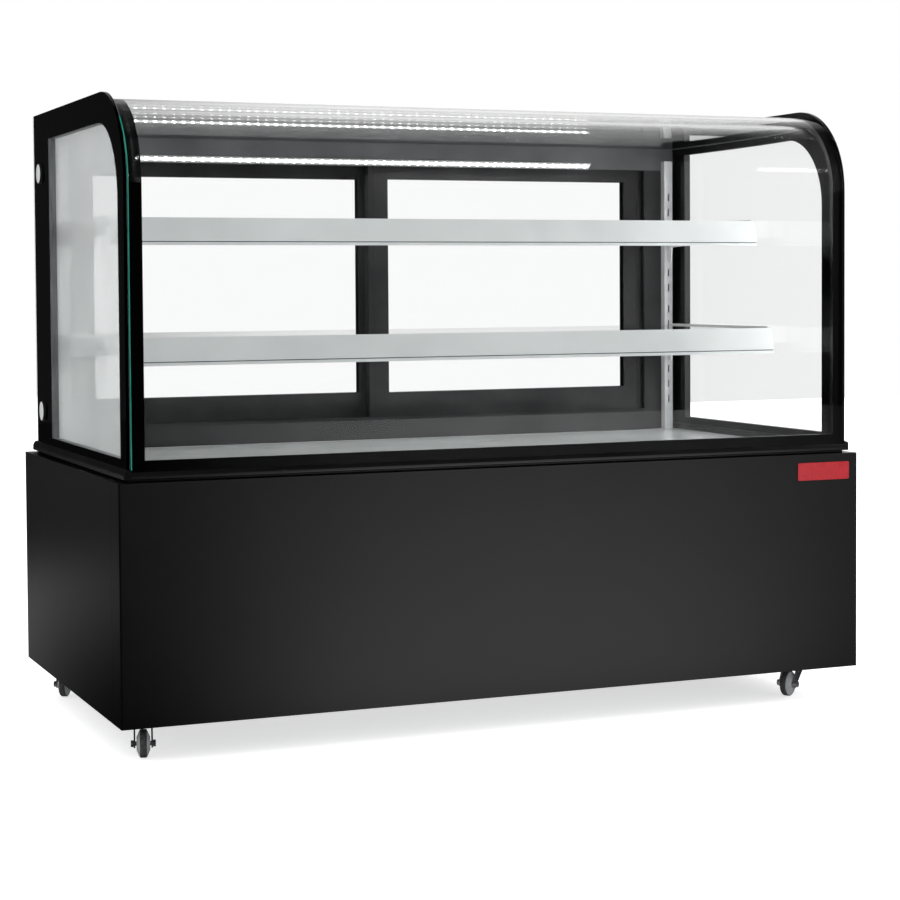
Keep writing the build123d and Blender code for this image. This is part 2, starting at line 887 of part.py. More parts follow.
def door_frame(left_edge, middle_y):
    """Frame of one sliding door with its two glides."""
    right_edge = left_edge + door_width
    y0 = middle_y - door_thickness / 2
    y1 = middle_y + door_thickness / 2
    body = block(left_edge, right_edge, y0, y1, door_bottom, door_top)
    body = fillet(body.edges().filter_by(Axis.Z), door_edge_radius)
    sight_x0 = left_edge + stile
    sight_x1 = right_edge - stile
    sight_z0 = door_bottom + bottom_rail
    sight_z1 = door_top - top_rail
    body -= block(sight_x0, sight_x1, y0 - 1, y1 + 1, sight_z0, sight_z1)
    body -= door_glass(left_edge, middle_y)
    for x in (left_edge + stile_groove_place, right_edge - stile_groove_place):
        body -= block(x - stile_groove, x, y0 - 1, y0 + stile_groove, door_bottom - 1, door_top + 1)
    groove_half = guide_width / 2 + guide_clearance
    groove_top = door_bottom - glide_height / 2
    for x in (left_edge + glide_inset, right_edge - glide_inset):
        half = glide_length / 2
        glide_y0 = y0 + glide_side
        glide_y1 = y1 - glide_side
        glide = block(x - half, x + half, glide_y0, glide_y1, door_bottom - glide_height, door_bottom)
        groove = block(
            x - glide_length,
            x + glide_length,
            middle_y - groove_half,
            middle_y + groove_half,
            door_bottom - glide_height - 1,
            groove_top,
        )
        body += glide - groove
    return body


def door_grip(x, middle_y):
    """Finger recess in the back of a stile."""
    z = (door_bottom + door_top) / 2
    y1 = middle_y + door_thickness / 2
    face = Pos(x, z) * RectangleRounded(grip_width, grip_length, grip_width / 3)
    return along_y(face, y1 - grip_depth, y1 + 1)


def left_door():
    frame = door_frame(left_door_left_edge, left_door_y)
    return frame - door_grip(left_door_left_edge + stile / 2, left_door_y)


def right_door():
    frame = door_frame(right_door_left_edge, right_door_y)
    return frame - door_grip(right_door_left_edge + door_width - stile / 2, right_door_y)


def door_glass(left_edge, middle_y):
    """Sealed double pane held in the seat of the door frame."""
    half = door_glass_thickness / 2
    edge = stile - glass_seat
    return block(
        left_edge + edge,
        left_edge + door_width - edge,
        middle_y - half,
        middle_y + half,
        door_bottom + bottom_rail - glass_seat,
        door_top - top_rail + glass_seat,
    )


# Well and deck


def pipe_holes(z0, z1):
    """Holes in the floor of the tub for the two refrigerant lines."""
    y = evaporator_front - riser_gap
    return [rod_z(x, y, z0, z1, pipe_hole) for x in (suction_pipe_x, liquid_pipe_x)]


def insulated_tub():
    """Foam-filled well under the deck with a drain in its floor."""
    body = block(-tub_half, tub_half, tub_front, tub_back, tub_bottom, tub_top)
    cavity_half = tub_half - tub_wall
    cavity = block(
        -cavity_half, cavity_half, tub_front + tub_wall, tub_back - tub_wall, well_floor, tub_top + 1
    )
    spigot_bottom = tub_bottom - drain_spigot
    spigot = rod_z(drain_x, drain_y, spigot_bottom, tub_bottom, drain_bore + drain_wall)
    bore = rod_z(drain_x, drain_y, spigot_bottom - 1, well_floor + 1, drain_bore)
    return body - cavity + spigot - bore - pipe_holes(tub_bottom - 1, well_floor + 1)


def deck_tray():
    """Stainless deck with an air gap in front, an air slot behind and a rib across its middle."""
    tray = block(-tub_half, tub_half, tub_front + deck_front_gap, tub_back, tub_top, deck_top)
    slot_half = tub_half - air_slot_margin
    slot = block(-slot_half, slot_half, tub_back - air_slot, tub_back + 1, tub_top - 1, deck_top + 1)
    notch_x0 = upright_x - upright_width / 2 - touch
    notch_x1 = upright_x + upright_width / 2 + touch
    notch_y = upright_front - touch
    notch = block(notch_x0, notch_x1, notch_y, tub_back + 1, tub_top - 1, deck_top + 1)
    fold_half = tub_half - tub_wall - touch
    fold_y = tub_front + tub_wall + touch
    fold = block(-fold_half, fold_half, fold_y, fold_y + deck_sheet, tub_top - deck_edge, tub_top)
    rib_half = rib_width / 2
    rib_back = evaporator_front - evaporator_depth / 2
    rib = block(-rib_half, rib_half, fold_y, rib_back, tub_top - deck_edge, tub_top)
    return tray - slot - notch - mirrored(notch) + fold + rib


# Uprights, brackets and shelves


def slot_heights():
    """Middle of every hook slot, in two groups with a screw between them."""
    top = header_bottom - slot_first
    upper = [top - i * slot_pitch for i in range(slot_rows)]
    lower = [upper[-1] - slot_group_gap - i * slot_pitch for i in range(slot_rows)]
    return upper + lower


def screw_heights():
    """Middle of every screw of an upright."""
    slots = slot_heights()
    between = (slots[slot_rows - 1] + slots[slot_rows]) / 2
    return [slots[0] + upright_screw_gap, between, slots[-1] - upright_screw_gap]


def shelf_uprights():
    """Slotted channel at each end of the rear frame, through the deck onto the well."""
    x0 = upright_x - upright_width / 2
    x1 = upright_x + upright_width / 2
    z1 = header_bottom + upright_rise
    wall_back = upright_front + upright_wall
    body = block(x0, x1, upright_front, frame_front, tub_top, z1)
    body -= block(x0 + upright_wall, x1 - upright_wall, wall_back, frame_front + 1, tub_top - 1, z1 + 1)
    slot_x0 = upright_x - slot_width / 2
    slot_x1 = upright_x + slot_width / 2
    tall = slot_length / 2
    for z in slot_heights():
        body -= block(slot_x0, slot_x1, upright_front - 1, wall_back + 1, z - tall, z + tall)
    for z in screw_heights():
        body += rod_y(upright_x, upright_front - upright_screw_head, frame_front, z, upright_screw_radius)
    return [body, mirrored(body)]


def hook(x0, x1, slot_z):
    """Hook that hangs in one slot behind the wall of the upright."""
    slot_bottom = slot_z - slot_length / 2
    y0 = upright_front + upright_wall + touch
    y1 = y0 + hook_reach
    z1 = slot_bottom + hook_rise
    tongue = block(x0, x1, upright_front, y1, slot_bottom + touch, z1)
    drop = block(x0, x1, y0, y1, slot_bottom - hook_drop, z1)
    return tongue + drop


def shelf_brackets(shelf_top, shelf_front):
    """Pair of hooked arms with a flange under the ends of the glass."""
    glass_bottom = shelf_top - shelf_glass
    web_top = shelf_top + bracket_rise
    web_foot = web_top - bracket_tab
    x0 = upright_x - bracket_thickness / 2
    x1 = upright_x + bracket_thickness / 2
    y_back = upright_front
    y_front = shelf_front + rail_grip + bracket_tip_gap
    face = polygon(
        [
            (y_back, web_top),
            (y_back, web_foot),
            (y_back - bracket_tab_foot, web_foot),
            (y_back - bracket_tab_reach, web_top - bracket_depth),
            (y_front, web_top - bracket_tip),
            (y_front, web_top),
        ]
    )
    arm = along_x(face, x0, x1)
    flange_bottom = glass_bottom - bracket_thickness
    arm += block(x0 - bracket_flange, x0, y_front, y_back - shelf_back_gap, flange_bottom, glass_bottom)
    for z in slot_heights():
        if z - slot_length / 2 > web_foot and z + slot_length / 2 < web_top:
            arm += hook(x0, x1, z)
    for place in bracket_bolt_places:
        arm += rod_x(x1, x1 + bracket_bolt_head, y_back - place, glass_bottom, bracket_bolt_radius)
    return [arm, mirrored(arm)]


def shelf_pane(shelf_top, shelf_front):
    """Glass between the two brackets, bonded into the seat of the front rail."""
    x = upright_x - bracket_thickness / 2 - touch
    y0 = shelf_front + rail_wall
    y1 = upright_front - shelf_back_gap
    return block(-x, x, y0, y1, shelf_top - shelf_glass, shelf_top)


def shelf_rail(shelf_top, shelf_front):
    """Leaning front rail, level with the glass that it carries in its seat."""
    z1 = shelf_top
    z0 = shelf_top - rail_height
    glass_low = z1 - shelf_glass
    grip = shelf_front + rail_grip
    seat_front = shelf_front + rail_wall

    def lean(z):
        """How far the leaning face is ahead of its top edge at a height."""
        return rail_lean * (z1 - z) / rail_height

    jaw_low = glass_low - rail_wall
    bead_top = z0 + rail_bead
    face = polygon(
        [
            (shelf_front, z1),
            (seat_front, z1),
            (seat_front, glass_low),
            (grip, glass_low),
            (grip, jaw_low),
            (shelf_front - lean(jaw_low) + rail_wall, jaw_low),
            (shelf_front - lean(bead_top) + rail_wall, bead_top),
            (shelf_front - lean(z0) + rail_bead, bead_top),
            (shelf_front - lean(z0) + rail_bead, z0),
            (shelf_front - lean(z0), z0),
        ]
    )
    end = upright_x - bracket_thickness / 2 - touch
    line_y = shelf_front - lean(bead_top) + rail_groove
    line_front = line_y - rail_wall
    line = block(-case_length, case_length, line_front, line_y, bead_top, bead_top + rail_groove)
    return along_x(face, -end, end) - line


# Lamp under the header


def lamp_plane():
    """Slanted face of the lamp, looking forward and down."""
    middle = (lamp_shift, frame_front - lamp_size / 2, header_bottom + lamp_size / 2)
    return Plane(origin=middle, x_dir=(1, 0, 0), z_dir=(0, -1, -1))


def lamp_housing():
    """Three-sided profile against the header with its slanted side recessed for the strip."""
    z0 = header_bottom
    z1 = header_bottom + lamp_size
    face = polygon([(frame_front, z0), (frame_front, z1), (frame_front - lamp_size, z1)])
    body = along_x(face, lamp_shift - lamp_length / 2, lamp_shift + lamp_length / 2)
    return body - lamp_plane() * Box(lamp_length - 2 * lamp_wall, strip_width, 2 * strip_thickness)


def lamp_strip():
    """Circuit strip with a row of lights, let into the slanted side of the lamp."""
    length = lamp_length - 2 * lamp_wall
    strip = lamp_plane() * Pos(0, 0, -strip_thickness / 2) * Box(length, strip_width, strip_thickness)
    count = int(length // led_pitch)
    for i in range(count):
        x = (i - (count - 1) / 2) * led_pitch
        strip += lamp_plane() * Pos(x, 0, led_height / 2) * Box(led_size, led_size, led_height)
    return strip


# Machine under the well


def compressor():
    """Sealed motor on a pressed foot with rubber grommets."""
    foot_z = machine_floor + grommet_height
    half = compressor_foot / 2
    tall = compressor_foot_width / 2
    radius = compressor_radius
    foot = block(
        compressor_x - half,
        compressor_x + half,
        compressor_y - tall,
        compressor_y + tall,
        foot_z,
        foot_z + foot_plate,
    )
    shell = rod_z(compressor_x, compressor_y, foot_z + foot_plate, foot_z + compressor_height, radius)
    shell = fillet(shell.edges().filter_by(GeomType.CIRCLE), compressor_round)
    stand_top = foot_z + compressor_stand_height
    stand = rod_z(compressor_x, compressor_y, foot_z, stand_top, compressor_stand_radius)
    cover = block(
        compressor_x,
        compressor_x + radius + cover_reach,
        compressor_y - cover_width / 2,
        compressor_y + cover_width / 2,
        foot_z + cover_foot,
        foot_z + cover_foot + cover_height,
    )
    pieces = [foot + shell + stand + cover]
    for side_x in (-1, 1):
        for side_y in (-1, 1):
            x = compressor_x + side_x * (half - grommet_radius)
            y = compressor_y + side_y * (tall - grommet_radius)
            pieces.append(rod_z(x, y, machine_floor, foot_z, grommet_radius))
    return pieces


def finned_coil(x0, x1, y0, y1, z0, z1):
    """Stack of fins on rows of tubes that join at one end."""
    count = int((x1 - x0) // fin_pitch)
    step = (x1 - x0 - fin_thickness) / count
    coil = [block(x0 + i * step, x0 + i * step + fin_thickness, y0, y1, z0, z1) for i in range(count + 1)]
    rows = int((z1 - z0) // tube_pitch)
    margin = (z1 - z0 - (rows - 1) * tube_pitch) / 2
    y = (y0 + y1) / 2
    first = z0 + margin
    for i in range(rows):
        coil.append(rod_x(x0 - tube_overhang, x1 + tube_overhang, y, first + i * tube_pitch, tube_radius))
    coil.append(rod_z(x1 + tube_overhang - tube_radius, y, first, z1 - margin, tube_radius))
    return coil[0] + coil[1:]


def condenser():
    x0 = condenser_x - condenser_length / 2
    x1 = condenser_x + condenser_length / 2
    top = machine_floor + condenser_height
    return finned_coil(x0, x1, condenser_front, condenser_back, machine_floor, top)


def evaporator():
    half = evaporator_length / 2
    top = evaporator_bottom + evaporator_height
    coil = finned_coil(-half, half, evaporator_front, evaporator_back, evaporator_bottom, top)
    for x in (-half, half - evaporator_leg):
        x1 = x + evaporator_leg
        coil += block(x, x1, evaporator_front, evaporator_back, well_floor, evaporator_bottom)
    return coil


def fan_motor(x, y_blade, z, floor, plate_half):
    """Fan motor on a bracket; the shaft points to the blades behind it."""
    y1 = y_blade - fan_hub_length / 2 - fan_motor_gap
    y0 = y1 - motor_length
    motor = rod_y(x, y0, y1, z, motor_radius)
    motor = fillet(motor.edges().filter_by(GeomType.CIRCLE), motor_edge_radius)
    shaft_end = y_blade + fan_hub_length / 2 - fan_shaft_cover - touch
    shaft = rod_y(x, y1 - 1, shaft_end, z, fan_shaft_radius)
    stem_y = y0 + motor_length / 4
    stem_half = motor_radius / 2
    stem = block(x - stem_half, x + stem_half, stem_y, stem_y + motor_bracket, floor, z)
    foot = block(x - plate_half, x + plate_half, y0, y0 + motor_length, floor, floor + motor_bracket)
    return motor + shaft + stem + foot


def fan_blade(x, y_blade, z, radius):
    """Hub with pitched blades, bored for the motor shaft."""
    y0 = y_blade - fan_hub_length / 2
    y1 = y_blade + fan_hub_length / 2
    fan = rod_y(x, y0, y1, z, fan_hub_radius)
    root = fan_hub_radius - fan_blade_thickness * 2
    reach = radius - root
    plate = Rot(0, 0, fan_pitch) * Box(2 * fan_hub_radius, fan_blade_thickness, reach)
    blade = Pos(0, 0, root + reach / 2) * plate & Cylinder(radius, 3 * radius, rotation=(90, 0, 0))
    for i in range(fan_blades):
        fan += Pos(x, y_blade, z) * Rot(0, 360 / fan_blades * i, 0) * blade
    bore = rod_y(x, y0 - 1, y1 - fan_shaft_cover, z, fan_shaft_radius + running_clearance)
    return fan - bore


def pipe(points, radius):
    """Copper pipe through the points, with a ball at every bend."""
    run = []
    for start, end in zip(points, points[1:]):
        line = Vector(*end) - Vector(*start)
        run.append(extrude(Plane(origin=start, z_dir=line) * Circle(radius), line.length))
        run.append(Pos(*end) * Sphere(radius))
    return run[0] + run[1:-1]


def refrigerant_pipes():
    """Discharge, liquid and suction lines with the filter drier."""
    shell_top = machine_floor + grommet_height + compressor_height
    coil_y = (condenser_front + condenser_back) / 2
    coil_end_x = condenser_x + condenser_length / 2 + tube_overhang
    high = condenser_fan_z + coil_port
    low = condenser_fan_z - coil_port
    riser_y = evaporator_front - riser_gap
    well_coil_x = evaporator_length / 2 + tube_overhang
    well_coil_y = (evaporator_front + evaporator_back) / 2

    discharge_x = compressor_x - stub_spread
    discharge_y = compressor_y + stub_spread
    discharge_z = shell_top + pipe_rise
    drop_x = coil_end_x + discharge_gap
    discharge = pipe(
        [
            (discharge_x, discharge_y, shell_top),
            (discharge_x, discharge_y, discharge_z),
            (discharge_x, coil_y, discharge_z),
            (drop_x, coil_y, discharge_z),
            (drop_x, coil_y, high),
            (coil_end_x, coil_y, high),
        ],
        pipe_radius,
    )
    suction_y = compressor_y - stub_spread
    suction_z = evaporator_fan_z + tube_pitch / 2
    under = tub_bottom - drain_spigot
    suction = pipe(
        [
            (well_coil_x, well_coil_y, suction_z),
            (suction_pipe_x, well_coil_y, suction_z),
            (suction_pipe_x, riser_y, suction_z),
            (suction_pipe_x, riser_y, under),
            (suction_pipe_x, suction_y, under),
            (suction_pipe_x, suction_y, shell_top),
        ],
        pipe_radius,
    )
    drier_x = compressor_x - compressor_foot / 2 - drier_gap
    liquid_z = evaporator_fan_z - tube_pitch / 2
    liquid = pipe(
        [
            (coil_end_x, coil_y, low),
            (drier_x, coil_y, low),
            (drier_x, riser_y, low),
            (liquid_pipe_x, riser_y, low),
            (liquid_pipe_x, riser_y, liquid_z),
            (liquid_pipe_x, well_coil_y, liquid_z),
            (well_coil_x, well_coil_y, liquid_z),
        ],
        pipe_radius,
    )
    drier_y = (coil_y + riser_y) / 2
    liquid += rod_y(drier_x, drier_y - drier_length / 2, drier_y + drier_length / 2, low, drier_radius)
    return [discharge, suction, liquid]


def drain_pan():
    """Open tray on the machine floor under the drain."""
    wall = drain_pan_wall
    x0 = drain_x - drain_pan_length / 2
    x1 = drain_x + drain_pan_length / 2
    y0 = drain_y - drain_pan_width / 2
    y1 = drain_y + drain_pan_width / 2
    z1 = machine_floor + drain_pan_height
    outside = block(x0, x1, y0, y1, machine_floor, z1)
    inside = block(x0 + wall, x1 - wall, y0 + wall, y1 - wall, machine_floor + wall, z1 + 1)
    return outside - inside


# Controls in the rear panel


def rocker_window(x):
    """Opening of one rocker through the plate and its housing."""
    half = rocker_length / 2 + rocker_clearance
    tall = rocker_height / 2 + rocker_clearance
    y0 = control_plate_y - sheet - rocker_depth + rocker_wall
    return block(x - half, x + half, y0, control_plate_y + 1, control_z - tall, control_z + tall)


def rocker_box(x):
    """Housing of one rocker behind the plate."""
    half = rocker_length / 2 + rocker_clearance + rocker_wall
    tall = rocker_height / 2 + rocker_clearance + rocker_wall
    y1 = control_plate_y - sheet
    return block(x - half, x + half, y1 - rocker_depth, y1, control_z - tall, control_z + tall)


def control_panel():
    """Plate behind the rear panel with the thermostat opening and two rocker housings."""
    y1 = control_plate_y
    half = control_length / 2
    tall = control_height / 2
    plate = block(control_x - half, control_x + half, y1 - sheet, y1, control_z - tall, control_z + tall)
    plate -= thermostat_body(touch)
    for place in (power_rocker_x, light_rocker_x):
        x = control_x + place
        plate += rocker_box(x)
        plate -= rocker_window(x)
        reach = rocker_height / 2 + rocker_clearance + rocker_wall
        plate += rod_z(x, rocker_axis_y, control_z - reach, control_z + reach, rocker_pivot_radius)
    return plate


def rocker(place):
    """Rocker with a dished face, at rest with its left end pressed in."""
    x = control_x + place
    half = rocker_length / 2
    tall = rocker_height / 2
    face_y = control_plate_y + rocker_proud
    face = polygon(
        [
            (x - half, rocker_axis_y - rocker_foot),
            (x + half, rocker_axis_y - rocker_foot),
            (x + half, face_y),
            (x, face_y - rocker_dish),
            (x - half, face_y),
        ]
    )
    face = face & (Pos(x, rocker_axis_y) * Circle(half))
    face -= Pos(x, rocker_axis_y) * Circle(rocker_pivot_radius + running_clearance)
    body = along_z(face, control_z - tall, control_z + tall)
    return body.rotate(Axis((x, rocker_axis_y, 0), (0, 0, 1)), rocker_angle)


def thermostat_body(extra=0):
    """Box of the controller behind its bezel."""
    x = control_x + thermostat_x
    half = thermostat_length / 2 + extra
    tall = thermostat_height / 2 + extra
    y1 = control_plate_y
    return block(x - half, x + half, y1 - thermostat_depth, y1, control_z - tall, control_z + tall)


def thermostat():
    """Controller with its bezel, a sunk display and the wells of its buttons."""
    x = control_x + thermostat_x
    half = thermostat_length / 2 + bezel
    tall = thermostat_height / 2 + bezel
    face_y = control_plate_y + bezel_height
    body = thermostat_body()
    body += block(x - half, x + half, control_plate_y, face_y, control_z - tall, control_z + tall)
    display_x = x - thermostat_length / 2 + display_inset
    body -= block(
        display_x,
        display_x + display_length,
        face_y - bezel_height / 2,
        face_y + 1,
        control_z - display_height / 2,
        control_z + display_height / 2,
    )
    well = button_length + button_travel + touch - button_proud
    for place in (0, 1):
        bx, bz = button_place(place)
        body -= rod_y(bx, face_y - well, face_y + 1, bz, button_radius + running_clearance)
    return body


def button_place(place):
    """Centre of one of the two buttons beside the display."""
    x = control_x + thermostat_x + thermostat_length / 2 - button_inset
    return x, control_z + (place - 0.5) * button_pitch


def button(place):
    """Round button that presses in against its spring."""
    x, z = button_place(place)
    face_y = control_plate_y + bezel_height + button_proud
    cap = rod_y(x, face_y - button_length, face_y, z, button_radius)
    rim = cap.edges().filter_by(GeomType.CIRCLE).sort_by(Axis.Y)[-1]
    return fillet(rim, button_edge_radius)


def cable_gland():
    """Gland in the rear panel, bored for the supply lead."""
    z = base_bottom + gland_height
    y1 = rear_face
    flange = gland_radius + gland_flange
    nut_back = y1 - sheet - gland_nut
    body = rod_y(gland_x, nut_back, y1 + touch, z, gland_radius - touch)
    body += rod_y(gland_x, y1, y1 + gland_proud, z, flange)
    body += rod_y(gland_x, nut_back, y1 - sheet, z, flange)
    return body - rod_y(gland_x, nut_back - 1, y1 + gland_proud + 1, z, gland_bore)


# Write every piece
save("base_chassis", base_chassis())
save("front_panel", front_panel())
save("right_side_panel", side_panel())
save("left_side_panel", mirrored(side_panel()))
save("rear_panel", rear_panel())
save("front_lip", front_lip())
save("right_ledge", side_ledge())
save("left_ledge", mirrored(side_ledge()))
save("insulated_tub", insulated_tub())
save("deck_tray", deck_tray())

save("right_end_outer_pane", end_outer_pane())
save("left_end_outer_pane", mirrored(end_outer_pane()))
save("end_glass_borders", [end_border(), mirrored(end_border())])
save("right_end_inner_pane", end_inner_pane())
save("left_end_inner_pane", mirrored(end_inner_pane()))
save("end_glass_caps", end_glass_caps())
save("front_glass_outer_pane", bent_outer_pane())
save("front_glass_border", bent_border())
save("front_glass_inner_pane", bent_inner_pane())

save("door_header", door_header())
save("door_sill", door_sill())
save("door_jambs", [door_jamb(), mirrored(door_jamb())])
save("right_door_frame", right_door())
save("right_door_glass", door_glass(right_door_left_edge, right_door_y))
save("left_door_frame", left_door())
save("left_door_glass", door_glass(left_door_left_edge, left_door_y))

save("shelf_uprights", shelf_uprights())
for shelf, top, setback in (
    ("lower_shelf", lower_shelf_top, lower_shelf_front),
    ("upper_shelf", upper_shelf_top, upper_shelf_front),
):
    save(f"{shelf}_brackets", shelf_brackets(top, front + setback))
    save(f"{shelf}_glass", shelf_pane(top, front + setback))
    save(f"{shelf}_rail", shelf_rail(top, front + setback))

save("lamp_housing", lamp_housing())
save("lamp_strip", lamp_strip())

save("caster_plates", [caster_plate(name) for name in caster_places])
for name in caster_places:
    save(f"caster_fork_{name}", caster_fork(name))
    save(f"caster_wheel_{name}", caster_wheel(name))

save("compressor", compressor())
save("condenser", condenser())
for fan, x, y, z, floor, radius in (
    ("condenser_fan", condenser_x, condenser_fan_y, condenser_fan_z, machine_floor, condenser_fan_radius),
    ("evaporator_fan", 0, evaporator_fan_y, evaporator_fan_z, well_floor, evaporator_fan_radius),
):
    save(f"{fan}_motor", fan_motor(x, y, z, floor, fan_foot))
    save(f"{fan}_blade", fan_blade(x, y, z, radius))
save("evaporator", evaporator())
save("refrigerant_pipes", refrigerant_pipes())
save("drain_pan", drain_pan())

save("control_panel", control_panel())
save("thermostat", thermostat())
save("button_up", button(1))
save("button_down", button(0))
save("power_switch", rocker(power_rocker_x))
save("light_switch", rocker(light_rocker_x))
save("cable_gland", cable_gland())
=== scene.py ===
import json
import math

import bmesh
import bpy
from mathutils import Matrix, Vector

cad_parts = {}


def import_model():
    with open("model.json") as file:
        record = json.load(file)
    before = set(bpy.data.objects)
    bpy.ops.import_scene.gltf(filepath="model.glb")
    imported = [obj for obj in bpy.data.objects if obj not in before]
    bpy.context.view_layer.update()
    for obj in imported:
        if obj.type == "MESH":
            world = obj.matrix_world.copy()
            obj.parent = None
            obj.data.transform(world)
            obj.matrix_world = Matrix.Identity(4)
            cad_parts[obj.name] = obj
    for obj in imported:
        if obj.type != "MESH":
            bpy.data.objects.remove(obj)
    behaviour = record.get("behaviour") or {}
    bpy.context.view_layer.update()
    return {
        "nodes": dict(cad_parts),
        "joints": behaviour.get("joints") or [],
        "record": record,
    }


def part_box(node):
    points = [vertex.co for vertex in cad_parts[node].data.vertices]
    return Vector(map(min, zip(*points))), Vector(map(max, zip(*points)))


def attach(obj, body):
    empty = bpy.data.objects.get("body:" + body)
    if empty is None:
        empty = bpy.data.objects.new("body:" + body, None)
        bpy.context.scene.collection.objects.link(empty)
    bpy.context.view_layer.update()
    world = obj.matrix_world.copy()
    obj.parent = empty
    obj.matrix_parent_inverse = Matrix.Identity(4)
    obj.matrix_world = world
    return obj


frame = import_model()
NODES = frame["nodes"]

# Camera of the photograph: place, aim, roll in degrees, lens in pixels and row of the level sight
CAMERA_PLACE = (-1.61891, -3.96279, 0.83375)
CAMERA_AIM = (0.38534, 0.92189, -0.04041)
CAMERA_ROLL = -0.3678
FOCAL_PIXELS = 2109.4
PRINCIPAL_ROW = 370
IMAGE = 900
SENSOR = 36
NEAR_CLIP = 0.05
FAR_CLIP = 50

# Brightness of the studio, where 1 is white
BACKDROP = 1.0
ROOM_LIGHT = 1.15
ROOM_GLOSS = 0.025
PALE_END = 0.9
FLOOR_TONE = 0.9
FLOOR_ROUGH = 0.9
FLOOR_LIFT = 0.6
FLOOR_GLOSS = 0.012
FLOOR_STRIP = 1.3

# Where the pale end of the room starts and is full, by the right and back parts of a direction
PALE_RIGHT = (0.1, 0.35)
PALE_BACK = (0.2, 0.6)

# Lit strip of the floor: the point behind the case from which it fans out, its tone by the
# slope seen from there, and the rows between which it fades beside the case
FLOOR_HALF = 9
STRIP_X = -1.62
STRIP_Y = 3.16
STRIP_STOPS = ((0.24, FLOOR_GLOSS), (0.40, FLOOR_STRIP), (0.52, FLOOR_STRIP), (0.74, FLOOR_GLOSS))
STRIP_FADE_ROWS = (-0.9, -0.4)
STRIP_FADE = 0.7

# Soft lamp to the right of the case
LAMP_PLACE = (2.3, -0.9, 1.3)
LAMP_AIM = (0.3, 0.0, 0.75)
LAMP_WIDTH = 0.9
LAMP_HEIGHT = 1.0
LAMP_WATTS = 20

# Panes with a thin clear coat that takes some of their gloss away
GLASS_BEND = 1.2
GLASS_TINT = (0.998, 1.0, 0.999)
SHELF_TINT = (0.985, 0.996, 0.99)
SHELF_SMEAR = 0.03

# Painted sheen of an inner end pane, a pale layer that stands for glare at a low angle: its share, and
# where it starts and is full by Layer Weight
GRAZING_SHEEN = 0.58
GRAZING_SHEEN_FACING = (0.55, 0.85)
GRAZING_SHEEN_TONES = ((0.84, 0.87, 0.87), (0.94, 0.96, 0.96))

# Row of lights of the lamp
LIGHT_PITCH = 0.02
LIGHT_LEVEL = 150.0
LENS_LEVEL = 1.0
LENS_TONE = 0.8
LIGHT_EDGE = (0.5, 0.9)

# Grain of brushed and drawn metal, and depths of a fine bump
ALONG_X = (0.02, 1, 1)
ALONG_Z = (1, 1, 0.02)
SMOOTH_GRAIN = 0.00001
PAINT_GRAIN = 0.00002
COAT_ROUGH = 0.08
NOISE_MIDDLE = (0.3, 0.7)

# Small rounded edges and turned pieces
EDGE_ANGLE = 30
EDGE_SEGMENTS = 3
TURN_STEPS = 64

# Bare plate on the front panel
CASE_FRONT = -0.4
BADGE_X = (0.612, 0.730)
BADGE_Z = (0.4425, 0.4775)
BADGE_ROUND = 0.003
BADGE_THICK = 0.0016
BADGE_EDGE = 0.0006
BADGE_CORNER_STEPS = 4

# Dark strip in the groove of a shelf rail, as painted shade
GROOVE_SHADE_HEIGHT = 0.0066
GROOVE_SHADE_BACK = 0.0018
GROOVE_SHADE_RADIUS = 0.0010
GROOVE_SHADE_END_GAP = 0.001
GROOVE_SHADE_STEPS = 6

# Bright disc of a fixing cap, as heights over the cap's face with radii: the crown, the
# shoulder as a share of the cap's radius, and the rim and foot as steps in from its edge
DISC_CROWN = (0.0008, 0.0001)
DISC_SHOULDER = (0.0006, 0.7)
DISC_RIM = (0.0001, 0.0010)
DISC_FOOT = (-0.0004, 0.0006)

# Rubber band of a wheel, as places along the axle with radii
TREAD_PROFILE = [
    (-0.0060, 0.0232),
    (-0.0061, 0.0241),
    (-0.0046, 0.02508),
    (0.0046, 0.02508),
    (0.0061, 0.0241),
    (0.0060, 0.0232),
]

# Green cut edge of the bent outer pane, with the depths between which it shows
BEND_RADIUS = 0.155
BEND_STEPS = 10
BEND_STEP_ANGLE = 5
CUT_DEPTHS = (0.0012, 0.0048)
CUT_PROUD = {"left": 0.0014, "right": 0.0003}
CUT_FOOT_GAP = 0.004
CUT_ROUND = 0.0001


# Shader helpers


def new_material(name):
    """Empty node material with its output, ready for a shader."""
    mat = bpy.data.materials.new(name)
    mat.use_nodes = True
    mat.node_tree.nodes.clear()
    out = mat.node_tree.nodes.new("ShaderNodeOutputMaterial")
    return mat, mat.node_tree, out


def node(tree, kind, **values):
    """Shader node with its settings."""
    made = tree.nodes.new(kind)
    for key, value in values.items():
        setattr(made, key, value)
    return made


def maths(tree, operation, first, second=None):
    """Result of one operation on sockets or plain numbers."""
    made = node(tree, "ShaderNodeMath", operation=operation)
    for i, value in enumerate((first, second)):
        if isinstance(value, (int, float)):
            made.inputs[i].default_value = value
        elif value is not None:
            tree.links.new(value, made.inputs[i])
    return made.outputs["Value"]


def parted(tree, vector):
    """X, Y and Z of a vector socket."""
    split = node(tree, "ShaderNodeSeparateXYZ")
    tree.links.new(vector, split.inputs["Vector"])
    return split.outputs["X"], split.outputs["Y"], split.outputs["Z"]


def mapped(tree, value, low, high, bottom=0.0, top=1.0, curve="LINEAR"):
    """Value taken from the range low to high to the range bottom to top."""
    made = node(tree, "ShaderNodeMapRange", interpolation_type=curve)
    made.inputs["From Min"].default_value = low
    made.inputs["From Max"].default_value = high
    made.inputs["To Min"].default_value = bottom
    made.inputs["To Max"].default_value = top
    tree.links.new(value, made.inputs["Value"])
    return made.outputs["Result"]


def step_up(tree, value, low, high, bottom=0.0, top=1.0):
    """Smooth step from bottom to top between two values."""
    return mapped(tree, value, low, high, bottom, top, "SMOOTHSTEP")


